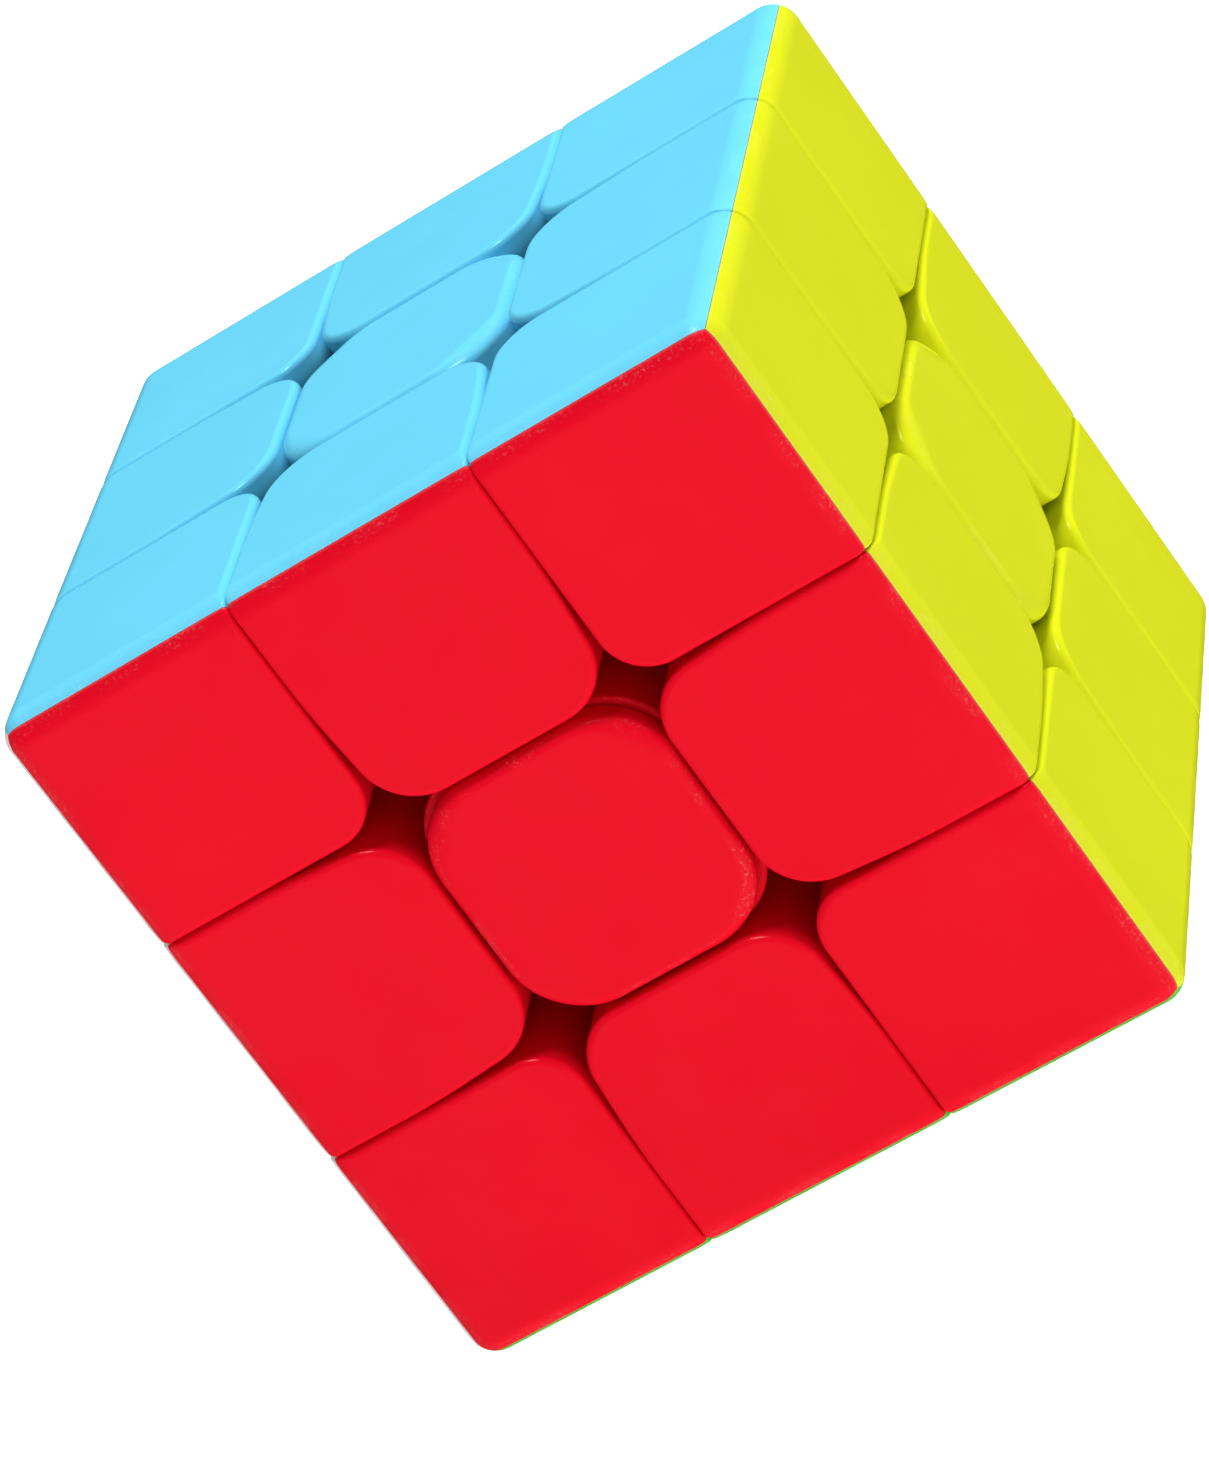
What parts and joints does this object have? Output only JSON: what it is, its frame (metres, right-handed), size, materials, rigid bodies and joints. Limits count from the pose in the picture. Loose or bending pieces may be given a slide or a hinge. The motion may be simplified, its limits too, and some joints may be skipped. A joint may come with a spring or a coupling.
{
  "type": "twisty puzzle cube",
  "caption": "Stickerless twisty puzzle cube with turning faces: sprung centres on a hidden core, footed edges and corners, rounded gaps around each capped centre.",
  "frame": {"origin": "centre of the cube, where the six turning axes of the faces cross", "axes": "+Z through the blue up face, +X through the yellow right face, -Y through the red front face"},
  "size_m": [0.056, 0.056, 0.056],
  "materials": {
    "plastic_blue": "semi-gloss moulded ABS, colour through the plastic",
    "plastic_green": "semi-gloss moulded ABS, colour through the plastic",
    "plastic_red": "semi-gloss moulded ABS, colour through the plastic",
    "plastic_orange": "semi-gloss moulded ABS, colour through the plastic",
    "plastic_yellow": "semi-gloss moulded ABS, colour through the plastic",
    "plastic_white": "semi-gloss moulded ABS, colour through the plastic",
    "core_plastic": "satin moulded nylon",
    "screw_steel": "zinc-plated steel",
    "spring_steel": "bright drawn spring wire"
  },
  "bodies": {
    "core": {"core": "core_plastic"},
    "spring_up": {"spring_up": "spring_steel"},
    "centre_up": {"centre_base_up": "plastic_blue"},
    "cap_up": {"centre_cap_up": "plastic_blue"},
    "screw_up": {"screw_up": "screw_steel"},
    "spring_down": {"spring_down": "spring_steel"},
    "centre_down": {"centre_base_down": "plastic_green"},
    "cap_down": {"centre_cap_down": "plastic_green"},
    "screw_down": {"screw_down": "screw_steel"},
    "spring_front": {"spring_front": "spring_steel"},
    "centre_front": {"centre_base_front": "plastic_red"},
    "cap_front": {"centre_cap_front": "plastic_red"},
    "screw_front": {"screw_front": "screw_steel"},
    "spring_back": {"spring_back": "spring_steel"},
    "centre_back": {"centre_base_back": "plastic_orange"},
    "cap_back": {"centre_cap_back": "plastic_orange"},
    "screw_back": {"screw_back": "screw_steel"},
    "spring_right": {"spring_right": "spring_steel"},
    "centre_right": {"centre_base_right": "plastic_yellow"},
    "cap_right": {"centre_cap_right": "plastic_yellow"},
    "screw_right": {"screw_right": "screw_steel"},
    "spring_left": {"spring_left": "spring_steel"},
    "centre_left": {"centre_base_left": "plastic_white"},
    "cap_left": {"centre_cap_left": "plastic_white"},
    "screw_left": {"screw_left": "screw_steel"},
    "edge_up_front": {"edge_up_front_half_up": "plastic_blue", "edge_up_front_half_front": "plastic_red"},
    "edge_up_back": {"edge_up_back_half_up": "plastic_blue", "edge_up_back_half_back": "plastic_orange"},
    "edge_up_right": {"edge_up_right_half_up": "plastic_blue", "edge_up_right_half_right": "plastic_yellow"},
    "edge_up_left": {"edge_up_left_half_up": "plastic_blue", "edge_up_left_half_left": "plastic_white"},
    "edge_down_front": {"edge_down_front_half_down": "plastic_green", "edge_down_front_half_front": "plastic_red"},
    "edge_down_back": {"edge_down_back_half_down": "plastic_green", "edge_down_back_half_back": "plastic_orange"},
    "edge_down_right": {"edge_down_right_half_down": "plastic_green", "edge_down_right_half_right": "plastic_yellow"},
    "edge_down_left": {"edge_down_left_half_down": "plastic_green", "edge_down_left_half_left": "plastic_white"},
    "edge_front_right": {"edge_front_right_half_front": "plastic_red", "edge_front_right_half_right": "plastic_yellow"},
    "edge_front_left": {"edge_front_left_half_front": "plastic_red", "edge_front_left_half_left": "plastic_white"},
    "edge_back_right": {"edge_back_right_half_back": "plastic_orange", "edge_back_right_half_right": "plastic_yellow"},
    "edge_back_left": {"edge_back_left_half_back": "plastic_orange", "edge_back_left_half_left": "plastic_white"},
    "corner_up_front_right": {"corner_up_front_right": "plastic_blue"},
    "corner_up_front_left": {"corner_up_front_left": "plastic_blue"},
    "corner_up_back_right": {"corner_up_back_right": "plastic_blue"},
    "corner_up_back_left": {"corner_up_back_left": "plastic_blue"},
    "corner_down_front_right": {"corner_down_front_right": "plastic_green"},
    "corner_down_front_left": {"corner_down_front_left": "plastic_green"},
    "corner_down_back_right": {"corner_down_back_right": "plastic_green"},
    "corner_down_back_left": {"corner_down_back_left": "plastic_green"}
  },
  "joints": [
    {"name": "up_turn", "type": "hinge", "parent": "core", "child": "spring_up", "pos_m": [0, 0, 0], "axis": [0, 0, 1], "continuous": true},
    {"name": "up_spring_travel", "type": "slide", "parent": "spring_up", "child": "centre_up", "axis": [0, 0, 1], "range_m": [0, 0.0005], "stiffness_N_per_m": 800, "springref_m": -0.002},
    {"name": "up_cap_pull", "type": "slide", "parent": "centre_up", "child": "cap_up", "axis": [0, 0, 1], "range_m": [0, 0.01]},
    {"name": "up_screw_turn", "type": "hinge", "parent": "core", "child": "screw_up", "pos_m": [0, 0, 0], "axis": [0, 0, 1], "range_deg": [-360, 360]},
    {"name": "down_turn", "type": "hinge", "parent": "core", "child": "spring_down", "pos_m": [0, 0, 0], "axis": [0, 0, -1], "continuous": true},
    {"name": "down_spring_travel", "type": "slide", "parent": "spring_down", "child": "centre_down", "axis": [0, 0, -1], "range_m": [0, 0.0005], "stiffness_N_per_m": 800, "springref_m": -0.002},
    {"name": "down_cap_pull", "type": "slide", "parent": "centre_down", "child": "cap_down", "axis": [0, 0, -1], "range_m": [0, 0.01]},
    {"name": "down_screw_turn", "type": "hinge", "parent": "core", "child": "screw_down", "pos_m": [0, 0, 0], "axis": [0, 0, -1], "range_deg": [-360, 360]},
    {"name": "front_turn", "type": "hinge", "parent": "core", "child": "spring_front", "pos_m": [0, 0, 0], "axis": [0, -1, 0], "continuous": true},
    {"name": "front_spring_travel", "type": "slide", "parent": "spring_front", "child": "centre_front", "axis": [0, -1, 0], "range_m": [0, 0.0005], "stiffness_N_per_m": 800, "springref_m": -0.002},
    {"name": "front_cap_pull", "type": "slide", "parent": "centre_front", "child": "cap_front", "axis": [0, -1, 0], "range_m": [0, 0.01]},
    {"name": "front_screw_turn", "type": "hinge", "parent": "core", "child": "screw_front", "pos_m": [0, 0, 0], "axis": [0, -1, 0], "range_deg": [-360, 360]},
    {"name": "back_turn", "type": "hinge", "parent": "core", "child": "spring_back", "pos_m": [0, 0, 0], "axis": [0, 1, 0], "continuous": true},
    {"name": "back_spring_travel", "type": "slide", "parent": "spring_back", "child": "centre_back", "axis": [0, 1, 0], "range_m": [0, 0.0005], "stiffness_N_per_m": 800, "springref_m": -0.002},
    {"name": "back_cap_pull", "type": "slide", "parent": "centre_back", "child": "cap_back", "axis": [0, 1, 0], "range_m": [0, 0.01]},
    {"name": "back_screw_turn", "type": "hinge", "parent": "core", "child": "screw_back", "pos_m": [0, 0, 0], "axis": [0, 1, 0], "range_deg": [-360, 360]},
    {"name": "right_turn", "type": "hinge", "parent": "core", "child": "spring_right", "pos_m": [0, 0, 0], "axis": [1, 0, 0], "continuous": true},
    {"name": "right_spring_travel", "type": "slide", "parent": "spring_right", "child": "centre_right", "axis": [1, 0, 0], "range_m": [0, 0.0005], "stiffness_N_per_m": 800, "springref_m": -0.002},
    {"name": "right_cap_pull", "type": "slide", "parent": "centre_right", "child": "cap_right", "axis": [1, 0, 0], "range_m": [0, 0.01]},
    {"name": "right_screw_turn", "type": "hinge", "parent": "core", "child": "screw_right", "pos_m": [0, 0, 0], "axis": [1, 0, 0], "range_deg": [-360, 360]},
    {"name": "left_turn", "type": "hinge", "parent": "core", "child": "spring_left", "pos_m": [0, 0, 0], "axis": [-1, 0, 0], "continuous": true},
    {"name": "left_spring_travel", "type": "slide", "parent": "spring_left", "child": "centre_left", "axis": [-1, 0, 0], "range_m": [0, 0.0005], "stiffness_N_per_m": 800, "springref_m": -0.002},
    {"name": "left_cap_pull", "type": "slide", "parent": "centre_left", "child": "cap_left", "axis": [-1, 0, 0], "range_m": [0, 0.01]},
    {"name": "left_screw_turn", "type": "hinge", "parent": "core", "child": "screw_left", "pos_m": [0, 0, 0], "axis": [-1, 0, 0], "range_deg": [-360, 360]},
    {"name": "edge_up_front_turn", "type": "hinge", "parent": "spring_up", "child": "edge_up_front", "pos_m": [0, 0, 0], "axis": [0, -1, 0], "continuous": true},
    {"name": "edge_up_back_turn", "type": "hinge", "parent": "spring_up", "child": "edge_up_back", "pos_m": [0, 0, 0], "axis": [0, 1, 0], "continuous": true},
    {"name": "edge_up_right_turn", "type": "hinge", "parent": "spring_right", "child": "edge_up_right", "pos_m": [0, 0, 0], "axis": [0, 0, 1], "continuous": true},
    {"name": "edge_up_left_turn", "type": "hinge", "parent": "spring_left", "child": "edge_up_left", "pos_m": [0, 0, 0], "axis": [0, 0, 1], "continuous": true},
    {"name": "edge_down_front_turn", "type": "hinge", "parent": "spring_down", "child": "edge_down_front", "pos_m": [0, 0, 0], "axis": [0, -1, 0], "continuous": true},
    {"name": "edge_down_back_turn", "type": "hinge", "parent": "spring_down", "child": "edge_down_back", "pos_m": [0, 0, 0], "axis": [0, 1, 0], "continuous": true},
    {"name": "edge_down_right_turn", "type": "hinge", "parent": "spring_right", "child": "edge_down_right", "pos_m": [0, 0, 0], "axis": [0, 0, -1], "continuous": true},
    {"name": "edge_down_left_turn", "type": "hinge", "parent": "spring_left", "child": "edge_down_left", "pos_m": [0, 0, 0], "axis": [0, 0, -1], "continuous": true},
    {"name": "edge_front_right_turn", "type": "hinge", "parent": "spring_front", "child": "edge_front_right", "pos_m": [0, 0, 0], "axis": [1, 0, 0], "continuous": true},
    {"name": "edge_front_left_turn", "type": "hinge", "parent": "spring_front", "child": "edge_front_left", "pos_m": [0, 0, 0], "axis": [-1, 0, 0], "continuous": true},
    {"name": "edge_back_right_turn", "type": "hinge", "parent": "spring_back", "child": "edge_back_right", "pos_m": [0, 0, 0], "axis": [1, 0, 0], "continuous": true},
    {"name": "edge_back_left_turn", "type": "hinge", "parent": "spring_back", "child": "edge_back_left", "pos_m": [0, 0, 0], "axis": [-1, 0, 0], "continuous": true},
    {"name": "corner_up_front_right_turn", "type": "hinge", "parent": "edge_up_front", "child": "corner_up_front_right", "pos_m": [0, 0, 0], "axis": [1, 0, 0], "continuous": true},
    {"name": "corner_up_front_left_turn", "type": "hinge", "parent": "edge_up_front", "child": "corner_up_front_left", "pos_m": [0, 0, 0], "axis": [-1, 0, 0], "continuous": true},
    {"name": "corner_up_back_right_turn", "type": "hinge", "parent": "edge_up_back", "child": "corner_up_back_right", "pos_m": [0, 0, 0], "axis": [1, 0, 0], "continuous": true},
    {"name": "corner_up_back_left_turn", "type": "hinge", "parent": "edge_up_back", "child": "corner_up_back_left", "pos_m": [0, 0, 0], "axis": [-1, 0, 0], "continuous": true},
    {"name": "corner_down_front_right_turn", "type": "hinge", "parent": "edge_down_front", "child": "corner_down_front_right", "pos_m": [0, 0, 0], "axis": [1, 0, 0], "continuous": true},
    {"name": "corner_down_front_left_turn", "type": "hinge", "parent": "edge_down_front", "child": "corner_down_front_left", "pos_m": [0, 0, 0], "axis": [-1, 0, 0], "continuous": true},
    {"name": "corner_down_back_right_turn", "type": "hinge", "parent": "edge_down_back", "child": "corner_down_back_right", "pos_m": [0, 0, 0], "axis": [1, 0, 0], "continuous": true},
    {"name": "corner_down_back_left_turn", "type": "hinge", "parent": "edge_down_back", "child": "corner_down_back_left", "pos_m": [0, 0, 0], "axis": [-1, 0, 0], "continuous": true}
  ],
  "couplings": [
    {"joint": "edge_up_front_turn", "follows": "front_turn", "ratio": 1},
    {"joint": "edge_up_back_turn", "follows": "back_turn", "ratio": 1},
    {"joint": "edge_up_right_turn", "follows": "up_turn", "ratio": 1},
    {"joint": "edge_up_left_turn", "follows": "up_turn", "ratio": 1},
    {"joint": "edge_down_front_turn", "follows": "front_turn", "ratio": 1},
    {"joint": "edge_down_back_turn", "follows": "back_turn", "ratio": 1},
    {"joint": "edge_down_right_turn", "follows": "down_turn", "ratio": 1},
    {"joint": "edge_down_left_turn", "follows": "down_turn", "ratio": 1},
    {"joint": "edge_front_right_turn", "follows": "right_turn", "ratio": 1},
    {"joint": "edge_front_left_turn", "follows": "left_turn", "ratio": 1},
    {"joint": "edge_back_right_turn", "follows": "right_turn", "ratio": 1},
    {"joint": "edge_back_left_turn", "follows": "left_turn", "ratio": 1},
    {"joint": "corner_up_front_right_turn", "follows": "right_turn", "ratio": 1},
    {"joint": "corner_up_front_left_turn", "follows": "left_turn", "ratio": 1},
    {"joint": "corner_up_back_right_turn", "follows": "right_turn", "ratio": 1},
    {"joint": "corner_up_back_left_turn", "follows": "left_turn", "ratio": 1},
    {"joint": "corner_down_front_right_turn", "follows": "right_turn", "ratio": 1},
    {"joint": "corner_down_front_left_turn", "follows": "left_turn", "ratio": 1},
    {"joint": "corner_down_back_right_turn", "follows": "right_turn", "ratio": 1},
    {"joint": "corner_down_back_left_turn", "follows": "left_turn", "ratio": 1}
  ]
}
